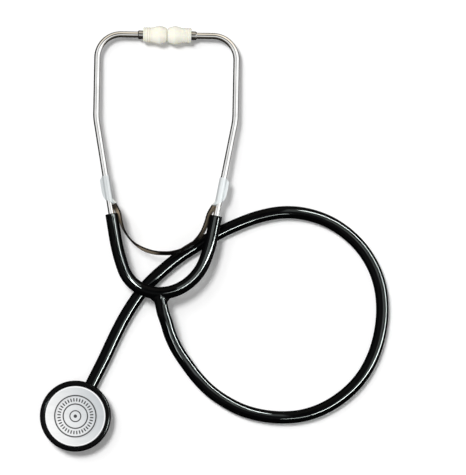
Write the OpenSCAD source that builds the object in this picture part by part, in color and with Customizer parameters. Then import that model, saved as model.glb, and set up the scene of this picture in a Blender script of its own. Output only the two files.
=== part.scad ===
// Single-head stethoscope, lying flat with its diaphragm up, in millimetres.
// The origin is the centre of the chestpiece's back face. +Y runs towards the eartips and +Z is up.

/* [Tubing] */
// Outside diameter of the black tubing
tube_od = 8.8; // [8.4:0.1:8.8]
// Sides of the free tube's cross section
tube_sides = 12; // [8:4:12]
// Length of the wye's stem, from its centre to where the free tube starts
wye_stem = 9; // [9:0.5:10]
// Part of each arm's lower bend that belongs to the wye, in degrees
wye_span = 25; // [20:1:30]

/* [Ear tubes] */
// Outside diameter of the metal ear tubes
ear_od = 4.3; // [4:0.1:4.6]
// Wall of the metal ear tubes
ear_wall = 0.5; // [0.4:0.1:0.7]
// Half the headset's width, between the middles of the ear tubes
half_width = 48.7; // [47:0.1:50]
// From the wye's centre up to the common axis of the eartips
ear_line = 180.8; // [178:0.2:184]
// From the wye's centre up to the slight bend in each ear tube
elbow_line = 122; // [118:0.2:126]
// Angle between an ear tube's lower stretch and the headset's centreline
splay = 10.25; // [9.5:0.25:10.5]
// Radius of the slight bend
elbow_r = 40; // [30:1:50]
// Radius of the bend at the top, towards the ear
top_bend_r = 16.5; // [15:0.5:18]
// Length of ear tube gripped inside the tubing
grip = 14; // [10:1:16]

/* [Eartips] */
// Length of an eartip
tip_len = 16.7; // [15:0.1:17]
// Largest radius of an eartip's bulb
tip_r = 6.6; // [6:0.1:7]
// Radius of an eartip's ribbed collar
tip_collar_r = 5.25; // [5:0.05:5.5]
// Radius of the sound hole through an eartip
sound_r = 1.3; // [1:0.1:1.5]

/* [Spring] */
// Width of the leaf spring's strip
leaf_width = 8; // [6:0.5:8.5]
// Thickness of the leaf spring's strip
leaf_thick = 0.9; // [0.7:0.1:1]
// Lean of the strip at its ends, in degrees from upright
leaf_lean = 22; // [10:1:24]
// Thickness of the rolled sleeve that holds an ear tube
sleeve_wall = 0.5; // [0.4:0.05:0.6]

/* [Chestpiece] */
// Outside radius of the retaining ring
ring_r = 24.9; // [24.5:0.1:25.5]
// Radius of the diaphragm that shows inside the ring
face_r = 20.9; // [20.9:0.1:21.6]
// Radius of the flat back
back_r = 14.2; // [13:0.1:15]
// Height of the seat that the diaphragm lies on
seat_z = 12; // [12:0.1:12.6]
// Direction of the stem, in degrees from +X
stem_azimuth = 63.3; // [60:0.1:66]

/* [Hidden] */
$fn = 48;

ivory = "#efe8cf";
black = "#17181a";
steel = "#c9ced2";
alloy = "#b9bcbf";
face_grey = "#d8dcdf";
spring_steel = "#8f8778";

left = -1;
right = 1;
fit = 0.05;        // running clearance on a radius
snug = 0.02;       // clearance of a pressed pair on a radius
over = 1;          // how far a cut runs past what it cuts

// Tubing and ear tubes
tube_r = tube_od / 2;
ear_r = ear_od / 2;
bore_r = ear_r + fit;
arm_line = 54.9;                 // from the wye's centre up to the end of each arm
arm_u = half_width - (elbow_line - arm_line) * tan(splay);
arm_straight = 15.6;             // straight mouth of each arm
arm_turn = 20;                   // heading where the gentle bend meets the tighter one
arm_link = 1;                    // straight length between those two bends

// The headset lies on its eartips at the top and on the crossing tube below
rise = 2.9;                      // slope of the headset's plane, in degrees
plan_turn = 1.1;                 // turn of the headset's centreline from +Y, clockwise
wye_line = [60.8, 86, tip_r + ear_line * sin(rise)];
wye_shift = -2.1;                // the wye's centre lies this far from the headset's centreline
stem_swing = 13;                 // the wye's stem leans this far from that line
stem_root = -0.2;                  // and starts this far from the wye's centre

// Eartip seat
tip_gap = 0.3;                   // between the two eartips
thread_depth = 7.5;
spigot_r = 2.75;
ferrule_r = 3;
ferrule_len = 3.5;

// Chestpiece stack
stem_z = 4.5;
stem_dir = [cos(stem_azimuth), sin(stem_azimuth), 0];
boss_r = 3.9;
boss_end = 19.3;
collar_end = 20.1;
tube_start = 20.4;               // the tubing's end, from the chestpiece's axis
barb_end = 33.5;
thread_r = 22.4;
flange_z = 9.5;
ring_bottom = 9.3;
lip_r = 21.1;
film = 0.25;                     // thickness of the diaphragm

// Half of the leaf spring's line, from its middle to where the right sleeve starts,
// as [distance from the centreline, distance above the wye]
leaf_half = [[0, 28], [5.6, 28.3], [11.9, 29.9], [17.3, 32.6], [22.3, 36.5], [27, 42.7], [29.9, 49.7],
    [31.8, 56], [35, 61.6]];
leaf_steps = 3;                  // rings for each stretch of that line

// The free tube's line on the table, from the wye round the loop to the chestpiece
loop_points = [
    [63.7, 65.6, 15], [66.5, 56.5, 12.4], [70.9, 47, 9.5], [77, 37.6, 7], [85, 27, 5.2], [94, 17.8, 4.6],
    [105, 10, 4.5], [117, 4, 4.5], [130, 0.4, 4.5], [144, -1, 4.5], [158, 0.1, 4.5], [171, 4.1, 4.5],
    [183, 10.7, 4.5], [194, 19.8, 4.5], [203, 31.2, 4.5], [209.6, 45, 4.5], [213.5, 60, 4.5],
    [214.8, 75, 4.5], [213.3, 90, 4.5], [208.5, 104.3, 4.5], [200.2, 117.6, 4.5], [189, 128.6, 4.5],
    [175.5, 136.8, 4.5], [160, 141.6, 4.5], [144.5, 142.5, 4.5], [129, 139.7, 4.5], [114.5, 134.6, 4.5],
    [100.5, 128.1, 4.5], [87, 120.4, 4.5], [73.5, 112, 4.5], [61, 101.9, 4.5], [50, 91.4, 4.5],
    [40.8, 79.4, 4.5], [33.2, 67, 4.5], [27, 54.8, 4.5]
];
loop_steps = 2;                  // rings for each stretch of that line

// Points and paths

// A smooth curve through four points, at share t between the middle two
function through(a, b, c, d, t) =
    0.5 * (2 * b + (c - a) * t + (2 * a - 5 * b + 4 * c - d) * t * t + (3 * b - a - 3 * c + d) * t * t * t);

// A list of points with n stretches put in between each pair
function smoothed(p, n) = concat(
    [for (i = [0 : len(p) - 2]) for (k = [0 : n - 1])
        through(p[max(i - 1, 0)], p[i], p[i + 1], p[min(i + 2, len(p) - 1)], k / n)],
    [p[len(p) - 1]]);

function unit(v) = v / norm(v);

// Direction of a path at each of its points, with the first and last ones given
function headings(p, first, last) = [for (i = [0 : len(p) - 1])
    i == 0 ? first : i == len(p) - 1 ? last : unit(p[i + 1] - p[i - 1])];

function path_length(p) = len(p) < 2 ? 0 : sum_of([for (i = [1 : len(p) - 1]) norm(p[i] - p[i - 1])]);
function sum_of(v, i = 0) = i == len(v) ? 0 : v[i] + sum_of(v, i + 1);

// A round section square to a heading, with one corner straight down
function round_section(at, heading, r, sides) =
    let (side = unit(cross(heading, [0, 0, 1])), up = cross(side, heading))
    [for (k = [0 : sides - 1]) let (a = 360 * k / sides - 90) at + r * (cos(a) * side + sin(a) * up)];

// Faces of a closed skin over equal rings, as triangles
function skin_faces(rings, sides) = concat(
    [for (k = [1 : sides - 2]) [0, k, k + 1]],
    [for (i = [0 : rings - 2]) for (k = [0 : sides - 1])
        let (a = i * sides + k, b = i * sides + (k + 1) % sides) each [[a, a + sides, b], [b, a + sides, b + sides]]],
    let (last = (rings - 1) * sides) [for (k = [1 : sides - 2]) [last, last + k + 1, last + k]]);

module skin(rings) {
    sides = len(rings[0]);
    polyhedron(points = [for (r = rings) each r], faces = skin_faces(len(rings), sides), convexity = 6);
}

// Straight stretch of a pipe along +Y. Its ends run on a little inside the walls of the bends,
// a hair thinner than they are.
module pipe_run(length, r, bore) {
    lap = 0.4;
    hair = 0.02;
    translate([0, -lap, 0])
        rotate([-90, 0, 0])
            difference() {
                cylinder(r = r - hair, h = length + 2 * lap);
                translate([0, 0, -over])
                    cylinder(r = bore + hair, h = length + 2 * over + 2 * lap);
            }
}

// Bend of a pipe that starts at the origin along +Y and turns to the left, or right where negative
module pipe_bend(bend_r, bend, r, bore) {
    past = over / bend_r * 180 / PI;
    mirror([bend < 0 ? 1 : 0, 0, 0])
        translate([-bend_r, 0, 0])
            difference() {
                rotate_extrude(angle = abs(bend))
                    translate([bend_r, 0])
                        circle(r = r);
                rotate([0, 0, -past])
                    rotate_extrude(angle = abs(bend) + 2 * past)
                        translate([bend_r, 0])
                            circle(r = bore);
            }
}

// A hollow pipe laid from the origin along +Y, each leg being [length, bend radius, bend angle]
module pipe(legs, r, bore, i = 0) {
    if (i < len(legs)) {
        length = legs[i][0];
        bend_r = legs[i][1];
        bend = legs[i][2];
        pipe_run(length, r, bore);
        translate([0, length, 0]) {
            if (bend != 0)
                pipe_bend(bend_r, bend, r, bore);
            translate([(bend < 0 ? bend_r : -bend_r) * (1 - cos(bend)), bend_r * sin(abs(bend)), 0])
                rotate([0, 0, bend])
                    pipe(legs, r, bore, i + 1);
        }
    }
}

// Frames

// The headset's own plane: X across it, Y from the wye towards the ears
module in_headset() {
    translate(wye_line)
        rotate([0, 0, -plan_turn])
            rotate([-rise, 0, 0])
                children();
}

// A direction in the headset's plane, as seen in the part's frame
function headset_direction(p) =
    let (y = p[1] * cos(rise) + p[2] * sin(rise), z = -p[1] * sin(rise) + p[2] * cos(rise))
    [p[0] * cos(plan_turn) + y * sin(plan_turn), -p[0] * sin(plan_turn) + y * cos(plan_turn), z];

// Right-hand pieces are drawn as they are, and left-hand ones mirrored
module on_side(side) {
    if (side == left)
        mirror([1, 0, 0])
            children();
    else
        children();
}

// Along the lower stretch of the right ear tube, from the arm's mouth upwards
module along_ear_tube() {
    translate([arm_u, arm_line, 0])
        rotate([0, 0, -splay])
            children();
}

// On the eartips' axis, with +Z pointing from the tip towards the ear tube
module at_eartip() {
    translate([tip_gap / 2, ear_line, 0])
        rotate([0, 90, 0])
            children();
}

// The chestpiece's stem as +Z, starting on the chestpiece's axis
module along_stem() {
    rotate([0, 0, stem_azimuth])
        translate([0, 0, stem_z])
            rotate([0, 90, 0])
                children();
}

// Metal ear tubes

elbow_tangent = elbow_r * tan(splay / 2);
ear_legs = [
    [(elbow_line - arm_line) / cos(splay) + grip - elbow_tangent, elbow_r, splay],
    [ear_line - top_bend_r - elbow_line - elbow_tangent, top_bend_r, 90],
    [half_width - top_bend_r - tip_gap / 2 - tip_len + thread_depth, 0, 0]
];

module ear_tube(side) {
    color(steel)
        in_headset()
            on_side(side)
                along_ear_tube()
                    translate([0, -grip, 0])
                        pipe(ear_legs, ear_r, ear_r - ear_wall);
}

// Threaded ferrule on the end of an ear tube: a collar outside the eartip and a spigot inside it
module tip_ferrule(side) {
    spigot_start = tip_len - thread_depth;
    collar_start = tip_len + 0.2;
    chamfer = 0.6;
    color(steel)
        in_headset()
            on_side(side)
                at_eartip()
                    rotate_extrude()
                        polygon([
                            [ear_r + snug, spigot_start],
                            [spigot_r - 0.3, spigot_start],
                            [spigot_r, spigot_start + 0.4],
                            [spigot_r, collar_start],
                            [ferrule_r, collar_start],
                            [ferrule_r, collar_start + ferrule_len - chamfer],
                            [ear_r + 0.25, collar_start + ferrule_len],
                            [ear_r + snug, collar_start + ferrule_len]
                        ]);
}

// Eartips

bulb_at = 5.1;          // the bulb's widest place, from the tip
bulb_end = 10.2;        // where the collar starts
nose_r = 4.6;           // radius of the flat nose
groove = 0.3;

// Outline of an eartip from the nose back to its base, as [radius, distance from the nose]
tip_outline = concat(
    [[sound_r + 0.8, 0], [nose_r - 0.4, 0]],
    [for (a = [0 : 10 : 90])
        [nose_r + (tip_r - nose_r) * (sin(a) + 1 - cos(a)) / 2, 0.3 + (bulb_at - 0.3) * (1 - cos(a))]],
    [for (t = [0.1 : 0.15 : 1])
        [tip_r - (tip_r - tip_collar_r) * pow(t, 1.35), bulb_at + (bulb_end - bulb_at) * t]],
    [for (k = [0 : 2]) let (z = bulb_end + 1.3 + 1.8 * k)
        each [[tip_collar_r, z - 0.35], [tip_collar_r - groove, z], [tip_collar_r, z + 0.35]]],
    [[tip_collar_r, tip_len - 0.5], [tip_collar_r - 0.5, tip_len]]);

module eartip(side) {
    seat = tip_len - thread_depth - 0.7;
    color(ivory)
        in_headset()
            on_side(side)
                at_eartip()
                    difference() {
                        rotate_extrude()
                            polygon(concat([[0, 0.6], [sound_r, 0.6]], tip_outline, [[0, tip_len]]));
                        translate([0, 0, -over])
                            cylinder(r = sound_r, h = tip_len + 2 * over);
                        translate([0, 0, seat])
                            cylinder(r = spigot_r + fit, h = tip_len);
                    }
}

// Leaf spring and its rolled ends

leaf_count = leaf_steps * (len(leaf_half) - 1);
right_line = smoothed(concat([[-leaf_half[1][0], leaf_half[1][1]]], leaf_half), leaf_steps);
// The whole line, from the left sleeve to the right one
leaf_line = concat(
    [for (i = [len(right_line) - 1 : -1 : leaf_steps + 1]) [-right_line[i][0], right_line[i][1], 0]],
    [for (i = [leaf_steps : len(right_line) - 1]) [right_line[i][0], right_line[i][1], 0]]);

// The strip's section, upright or, by its lean, with the upper edge inwards of the lower one
function leaf_section(at, heading, lean) =
    let (inward = [-heading[1], heading[0], 0],
        across = [0, 0, cos(lean)] + sin(lean) * inward,
        through_it = cos(lean) * inward - [0, 0, sin(lean)])
    [for (c = [[-1, -1], [1, -1], [1, 1], [-1, 1]])
        at + c[1] * leaf_width / 2 * across + c[0] * leaf_thick / 2 * through_it];

leaf_middle_lean = 13;
// How far it leans at share s of the way from the middle to the right end, or, below 0, to the left
// one: more towards both ends, but on the left twisted almost upright for part of its length
function lean_at(s) = leaf_middle_lean + (leaf_lean - leaf_middle_lean) * pow(abs(s), 1.5)
    - 15 * pow(sin(180 * min(1, max(0, -s - 0.2) / 0.7)), 2);

leaf_end = leaf_line[len(leaf_line) - 1];
leaf_out = unit(leaf_end - leaf_line[len(leaf_line) - 2]);

module leaf_spring() {
    ways = headings(leaf_line, [leaf_out[0], -leaf_out[1], 0], leaf_out);
    color(spring_steel)
        in_headset()
            skin([for (i = [0 : len(leaf_line) - 1])
                leaf_section(leaf_line[i], ways[i], lean_at(i / leaf_count - 1))]);
}

sleeve_low = 10.4;      // outer lower end of the sleeve, from the arm's mouth
sleeve_inner_low = 6.8;  // inner lower end, where the strip leaves
sleeve_top = 27;
sleeve_r = ear_r + snug + sleeve_wall;
pinch = 1.7;            // how far the pinched edges stand out

// The strip's end, rolled round the ear tube with its two edges pinched together outside
module spring_sleeve(side) {
    slant = atan((sleeve_low - sleeve_inner_low) / (2 * sleeve_r));
    color(steel)
        in_headset()
            on_side(side) {
                along_ear_tube()
                    difference() {
                        union() {
                            translate([0, sleeve_inner_low - over, 0])
                                rotate([-90, 0, 0])
                                    cylinder(r = sleeve_r, h = sleeve_top - sleeve_inner_low + over);
                            translate([0, 0, -sleeve_wall])
                                linear_extrude(2 * sleeve_wall)
                                    polygon([
                                        [ear_r, sleeve_top],
                                        [sleeve_r + pinch, sleeve_top - 2.4],
                                        [sleeve_r + pinch, 16],
                                        [sleeve_r + 0.8 * pinch, 13.6],
                                        [sleeve_r + 0.4 * pinch, 11.6],
                                        [sleeve_r, sleeve_low + 0.2],
                                        [ear_r, sleeve_low]
                                    ]);
                        }
                        translate([0, -over, 0])
                            rotate([-90, 0, 0])
                                cylinder(r = ear_r + snug, h = sleeve_top + 2 * over);
                        translate([-sleeve_r, sleeve_inner_low, 0])
                            rotate([0, 0, slant])
                                translate([-10, -10, -10])
                                    cube([30, 10, 20]);
                    }
                difference() {
                    hull() {
                        translate(leaf_end)
                            skin([leaf_section([0, 0, 0], leaf_out, leaf_lean),
                                leaf_section(0.3 * leaf_out, leaf_out, leaf_lean)]);
                        along_ear_tube()
                            translate([-sleeve_r, sleeve_inner_low + 0.6, -ear_r])
                                cube([sleeve_wall, 2.5, ear_od]);
                    }
                    along_ear_tube()
                        translate([0, -over, 0])
                            rotate([-90, 0, 0])
                                cylinder(r = ear_r + snug, h = sleeve_top);
                }
            }
}

// Moulded tubing: two arms, the wye and the free tube

// Each arm runs from its mouth through a gentle bend and a tighter one to the end of the crosspiece.
// The radii of both bends follow from where its two ends are.
cross_r = 30;                    // radius of the wye's crosspiece
from_mouth = arm_straight * [sin(splay), cos(splay)] + arm_link * [sin(arm_turn), cos(arm_turn)];
gentle = [cos(splay) - cos(arm_turn), sin(arm_turn) - sin(splay)];
tight = [cos(arm_turn) - sin(wye_span), cos(wye_span) - sin(arm_turn)];
function arm_radii(side) =
    let (to = [arm_u - side * wye_shift, arm_line] - from_mouth
            - cross_r * [sin(wye_span), 1 - cos(wye_span)],
        det = gentle[0] * tight[1] - tight[0] * gentle[1])
    [(to[0] * tight[1] - tight[0] * to[1]) / det, (gentle[0] * to[1] - gentle[1] * to[0]) / det];

module tubing_arm(side) {
    radii = arm_radii(side);
    color(black)
        in_headset()
            on_side(side)
                translate([arm_u, arm_line, 0])
                    rotate([0, 0, 180 - splay])
                        pipe([
                            [arm_straight, radii[0], splay - arm_turn],
                            [arm_link, radii[1], arm_turn + wye_span - 90]
                        ], tube_r, bore_r);
}

// The wye's crosspiece, an arc through its centre that carries on the bends of both arms
module crosspiece(r, span) {
    translate([0, cross_r, 0])
        rotate([0, 0, -90 - span])
            rotate_extrude(angle = 2 * span)
                translate([cross_r, 0])
                    circle(r = r);
}

// A thin slice of the crosspiece, d millimetres along from the centre
module crosspiece_slice(d, r) {
    translate([0, cross_r, 0])
        rotate([0, 0, d / cross_r * 180 / PI])
            translate([0, -cross_r, 0])
                rotate([0, 90, 0])
                    cylinder(r = r, h = 0.2, center = true, $fn = 24);
}

module along_wye_stem() {
    translate([stem_root, 0, 0])
        rotate([90, 0, stem_swing])
        children();
}

module tubing_wye() {
    web_r = tube_r - 0.3;
    // how far the web between the stem and each arm reaches, as [side, along the arm, along the stem]
    webs = [[left, 6.8, 6.3], [right, 5.4, 6.9]];
    color(black)
        in_headset()
            translate([wye_shift, 0, 0])
            difference() {
                union() {
                    crosspiece(tube_r, wye_span);
                    along_wye_stem()
                        cylinder(r1 = tube_r - 0.12, r2 = tube_r, h = wye_stem);
                    for (web = webs)
                        hull() {
                            crosspiece_slice(web[0] * web[1], web_r);
                            along_wye_stem()
                                translate([0, 0, web[2] - 0.2])
                                    cylinder(r = web_r, h = 0.2, $fn = 24);
                        }
                }
                crosspiece(bore_r, wye_span + 2);
                along_wye_stem()
                    cylinder(r = bore_r - 0.05, h = wye_stem + over);
            }
}

stem_out = headset_direction([sin(stem_swing), -cos(stem_swing), 0]);
stem_end = wye_line + headset_direction([wye_shift + stem_root, 0, 0]) + wye_stem * stem_out;
tube_line = smoothed(concat(
    [stem_end, stem_end + 5 * stem_out],
    loop_points,
    [for (d = [44, 34, tube_start]) d * stem_dir + [0, 0, stem_z]]), loop_steps);

module main_tube() {
    ways = headings(tube_line, stem_out, -stem_dir);
    color(black)
        difference() {
            skin([for (i = [0 : len(tube_line) - 1])
                round_section(tube_line[i], ways[i], tube_r, tube_sides)]);
            along_stem()
                translate([0, 0, tube_start - over])
                    cylinder(r = bore_r, h = barb_end - tube_start + 2 * over);
        }
}

// Chestpiece

// Side of the body, a quarter of an oval from the back's edge out to the flange
body_side = let (foot_r = back_r + 1.2, foot_z = 1.2)
    [for (a = [0 : 10 : 90])
        [foot_r + (thread_r - foot_r) * (1 - cos(a)), foot_z + (flange_z - foot_z) * sin(a)]];

module chestpiece_body() {
    chamber_r = 20.3;
    hole_r = 1.6;
    color(alloy)
        difference() {
            union() {
                rotate_extrude()
                    polygon(concat(
                        [[0, 0], [back_r, 0], [back_r + 0.85, 0.35]],
                        body_side,
                        [[thread_r, seat_z], [chamber_r, seat_z], [chamber_r - 0.5, seat_z - 1],
                            [hole_r + 0.6, flange_z], [hole_r, flange_z - 0.5], [0, flange_z - 0.5]]));
                along_stem()
                    translate([0, 0, 12])
                        cylinder(r = boss_r, h = boss_end - 12);
            }
            translate([0, 0, stem_z])
                cylinder(r = hole_r, h = flange_z);
            along_stem()
                cylinder(r = 1.5, h = 12);
            along_stem()
                translate([0, 0, 9])
                    cylinder(r = ear_r + snug, h = boss_end);
        }
}

// Barbed stem, pressed into the body and pushed into the tubing
module chest_stem() {
    barbs = 3;
    pitch = (barb_end - collar_end - 1.5) / barbs;
    root = 0.35;
    color(steel)
        along_stem()
            rotate_extrude()
                polygon(concat(
                    [[1.2, 9], [ear_r, 9], [ear_r, boss_end], [3.3, boss_end], [3.3, collar_end]],
                    [for (k = [0 : barbs - 1]) let (z = collar_end + 1.5 + k * pitch)
                        each [[ear_r - root, z - (k == 0 ? 1.5 : 0)], [ear_r - root, z + 0.5],
                            [ear_r, z + 0.9], [ear_r, z + 1.3]]],
                    [[ear_r - root - 0.1, barb_end], [1.2, barb_end]]));
}

module diaphragm() {
    color(face_grey)
        translate([0, 0, seat_z])
            rotate_extrude()
                polygon([[0, film], [face_r - 0.4, film], [face_r - 0.3, 0], [thread_r - 0.2, 0],
                    [thread_r - 0.2, film], [face_r, film], [face_r, 2 * film], [0, 2 * film]]);
}

// Screwed ring with a rounded outside and a lip over the diaphragm's edge
module retaining_ring() {
    top_z = seat_z + 1.2;
    crown_r = 23.2;
    lip_z = seat_z + film + fit;
    waist_z = 10.8;
    color(black)
        rotate_extrude()
            polygon(concat(
                [[thread_r + fit, ring_bottom], [24.1, ring_bottom]],
                [for (a = [-60 : 15 : 0]) [ring_r - 0.8 + 0.8 * cos(a), waist_z + 1.4 * sin(a)]],
                [for (a = [10 : 10 : 90])
                    [crown_r + (ring_r - crown_r) * cos(a), waist_z + (top_z - waist_z) * sin(a)]],
                [[crown_r - 0.9, top_z - 0.12], [lip_r + 0.2, top_z - 0.4], [lip_r, top_z - 0.6],
                    [lip_r, lip_z], [thread_r + fit, lip_z]]));
}

chestpiece_body();
chest_stem();
diaphragm();
retaining_ring();
main_tube();
tubing_wye();
tubing_arm(left);  // left_arm
tubing_arm(right);  // right_arm
leaf_spring();
spring_sleeve(left);  // left_spring_sleeve
spring_sleeve(right);  // right_spring_sleeve
ear_tube(left);  // left_ear_tube
ear_tube(right);  // right_ear_tube
tip_ferrule(left);  // left_tip_ferrule
tip_ferrule(right);  // right_tip_ferrule
eartip(left);  // left_eartip
eartip(right);  // right_eartip
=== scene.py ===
"""Single-head stethoscope laid flat on a pale table, seen from straight above.

Every size is in metres in the part's own frame: the origin is the centre of the chestpiece's
back, +Z is up and +Y runs towards the eartips.
"""

import math

import bmesh
import bpy
import numpy as np
from bpy.props import FloatProperty, FloatVectorProperty, IntProperty, PointerProperty
from mathutils import Matrix, Vector


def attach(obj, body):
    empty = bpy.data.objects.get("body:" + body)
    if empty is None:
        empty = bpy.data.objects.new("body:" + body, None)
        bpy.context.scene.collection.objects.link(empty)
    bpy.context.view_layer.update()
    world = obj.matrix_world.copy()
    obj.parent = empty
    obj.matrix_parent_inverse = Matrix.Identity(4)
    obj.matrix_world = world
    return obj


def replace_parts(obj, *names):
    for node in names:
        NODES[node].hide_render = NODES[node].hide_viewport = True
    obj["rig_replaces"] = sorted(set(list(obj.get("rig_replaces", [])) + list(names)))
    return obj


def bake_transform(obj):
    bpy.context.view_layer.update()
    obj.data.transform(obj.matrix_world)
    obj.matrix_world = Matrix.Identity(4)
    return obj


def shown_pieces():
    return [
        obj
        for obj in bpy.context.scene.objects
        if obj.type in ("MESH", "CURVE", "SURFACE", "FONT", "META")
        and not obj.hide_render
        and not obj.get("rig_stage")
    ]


bl_info = {
    "name": "Single-Head Stethoscope",
    "version": (1, 0, 0),
    "blender": (4, 5, 0),
    "location": "View3D > Sidebar > Stethoscope",
    "description": "Dresses a stethoscope with tubing, spring, metal and plastic finishes",
    "category": "Object",
}

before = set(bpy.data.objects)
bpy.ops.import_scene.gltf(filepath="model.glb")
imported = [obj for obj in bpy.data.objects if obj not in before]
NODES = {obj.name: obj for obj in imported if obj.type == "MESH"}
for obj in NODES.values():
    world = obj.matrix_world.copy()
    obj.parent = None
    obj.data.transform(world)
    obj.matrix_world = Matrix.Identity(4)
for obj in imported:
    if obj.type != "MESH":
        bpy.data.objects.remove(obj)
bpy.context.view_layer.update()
MM = 0.001
UP = Vector((0, 0, 1))
SIDES = {"left": -1, "right": 1}

# The headset's own plane: X across it and Y from the wye towards the ears
EAR_LINE = 0.1808
EARTIP_HEIGHT = 0.0066
RISE = math.radians(2.9)
PLAN_TURN = math.radians(1.1)
WYE_CENTRE = Vector((0.0608, 0.086, EARTIP_HEIGHT + EAR_LINE * math.sin(RISE)))
HEADSET = (
    Matrix.Translation(WYE_CENTRE)
    @ Matrix.Rotation(-PLAN_TURN, 4, "Z")
    @ Matrix.Rotation(-RISE, 4, "X")
)

# The ear tubes' slight bend, and the arms' mouths on the straight below it
SPLAY = math.radians(10.25)
ELBOW_ACROSS = 0.0487
ELBOW_LINE = 0.122
ARM_LINE = 0.0549
ARM_ACROSS = ELBOW_ACROSS - (ELBOW_LINE - ARM_LINE) * math.tan(SPLAY)

# Each arm below its mouth: a straight, a gentle bend, a short link and a tighter bend
ARM_STRAIGHT = 0.0156
ARM_LINK = 0.001
ARM_TURN = math.radians(20)

# The wye: a crosspiece that is an arc, and a slanted stem
WYE_SHIFT = -0.0021
WYE_SPAN = math.radians(25)
CROSS_RADIUS = 0.030
WYE_STEM = 0.009
STEM_ROOT = -0.0002
STEM_SWING = math.radians(13)
STEM_WAY = Vector((math.sin(STEM_SWING), -math.cos(STEM_SWING), 0))
FILLET_REACH = 0.0034
TUBE_SIDES = 40

# The free tube's line on the table, from the wye round the loop to the chestpiece, in millimetres
LOOP_POINTS = [
    (63.7, 65.6, 15), (66.5, 56.5, 12.4), (70.9, 47, 9.5), (77, 37.6, 7), (85, 27, 5.2),
    (94, 17.8, 4.6), (105, 10, 4.5), (117, 4, 4.5), (130, 0.4, 4.5), (144, -1, 4.5),
    (158, 0.1, 4.5), (171, 4.1, 4.5), (183, 10.7, 4.5), (194, 19.8, 4.5), (203, 31.2, 4.5),
    (209.6, 45, 4.5), (213.5, 60, 4.5), (214.8, 75, 4.5), (213.3, 90, 4.5), (208.5, 104.3, 4.5),
    (200.2, 117.6, 4.5), (189, 128.6, 4.5), (175.5, 136.8, 4.5), (160, 141.6, 4.5),
    (144.5, 142.5, 4.5), (129, 139.7, 4.5), (114.5, 134.6, 4.5), (100.5, 128.1, 4.5),
    (87, 120.4, 4.5), (73.5, 112, 4.5), (61, 101.9, 4.5), (50, 91.4, 4.5), (40.8, 79.4, 4.5),
    (33.2, 67, 4.5), (27, 54.8, 4.5),
]
# The straight out of the wye's stem, and the points on the chestpiece's stem line that end it
TUBE_LEAD = 0.005
CHEST_STEM_AZIMUTH = math.radians(63.3)
CHEST_STEM_WAY = Vector((math.cos(CHEST_STEM_AZIMUTH), math.sin(CHEST_STEM_AZIMUTH), 0))
CHEST_STEM_Z = 0.0045
TUBE_TAIL = (0.044, 0.034, 0.0204)

# Half of the leaf spring's line in the headset's plane, in millimetres
LEAF_HALF = [
    (0, 28), (5.6, 28.3), (11.9, 29.9), (17.3, 32.6), (22.3, 36.5), (27, 42.7), (29.9, 49.7),
    (31.8, 56), (35, 61.6),
]
MIDDLE_LEAN = math.radians(13)
LEFT_TWIST = math.radians(15)

# Eartips: X of the middle between them, and the painted groove shade round their collars
EARTIP_MIDDLE = 0.0643
GROOVE_PITCH = 0.0017
COLLAR_START = (0.0105, 0.0112)

# Marks on the diaphragm, besides the two circles between which the ticks stand, and the radius of
# the painted highlight at the sheet's edge
SMALL_CIRCLE = 0.0038
DOT = 0.0012
TICK_LENGTH = 0.0024
TICK_HALF_WIDTH = (0.00038, 0.0005)
INK_SOFTNESS = 0.0001
EDGE_HIGHLIGHT_RADIUS = 0.0205

# Arcs of lamps that black pieces mirror as lines and dim bands: the nodes they are for, the
# lamps' depth, their share of the full emission, and the azimuth and tilt of each stop in degrees
LAMP_ARCS = (
    (("retaining_ring",), 0.3, 0.4, ((-40, 34), (-16, 46), (10, 58), (36, 58), (60, 46))),
    (("main_tube",), 0.14, 1.0,
     ((-70, 36), (-60, 38), (-48, 42), (-36, 50), (-24, 64), (-12, 76), (0, 80), (13, 80),
      (26, 78), (39, 76), (52, 70), (66, 62), (80, 50))),
    (("main_tube",), 1.15, 0.017,
     ((-60, 32), (-35, 36), (-10, 40), (15, 40), (40, 40), (62, 37), (88, 34))),
    (("main_tube",), 0.14, 0.3, ((-86, 30), (-70, 36))),
    (("left_arm",), 0.09, 1.3, ((3, 36), (16, 35), (30, 36))),
    (("left_arm",), 0.09, 0.85, ((30, 36), (44, 35), (56, 26), (66, 18), (78, 12), (92, 8))),
    (("left_arm", "tubing_wye"), 0.84, 0.045, ((-5, 48), (20, 48), (45, 46), (66, 44))),
    (("tubing_wye",), 0.12, 1.1, ((40, 26), (52, 19), (62, 16), (72, 15))),
    (("tubing_wye",), 0.12, 0.5, ((-66, 10), (-58, 11), (-45, 13))),
    (("tubing_wye",), 0.12, 0.16, ((-90, 7), (-78, 8), (-66, 10))),
    (("tubing_wye",), 0.16, 0.5, ((-5, 64), (12, 64), (30, 60))),
    (("right_arm",), 0.13, 0.9,
     ((-62, 11), (-48, 14), (-36, 17), (-24, 19), (-16, 22), (-13, 29), (-11, 42), (-8, 56),
      (-1, 62))),
    (("right_arm",), 1.1, 0.034, ((140, 32), (-40, 8))),
)
ARC_CENTRE = Vector((0.10, 0.11, 0.0))
ARC_RADIUS = 1.6
ARC_COLOUR = (0.90, 1.0, 0.97)

# Suns for single pieces: the nodes they are for, the side they shine from, their width in
# degrees, their share of the fill and whether the pieces mirror them
FILLS = (
    (("left_eartip", "right_eartip"), (0.05, -0.9, 0.35), 40, 1.0, False),
    (("right_spring_sleeve",), (0.2, 0.0, 1.0), 80, 0.5, True),
)


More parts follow.
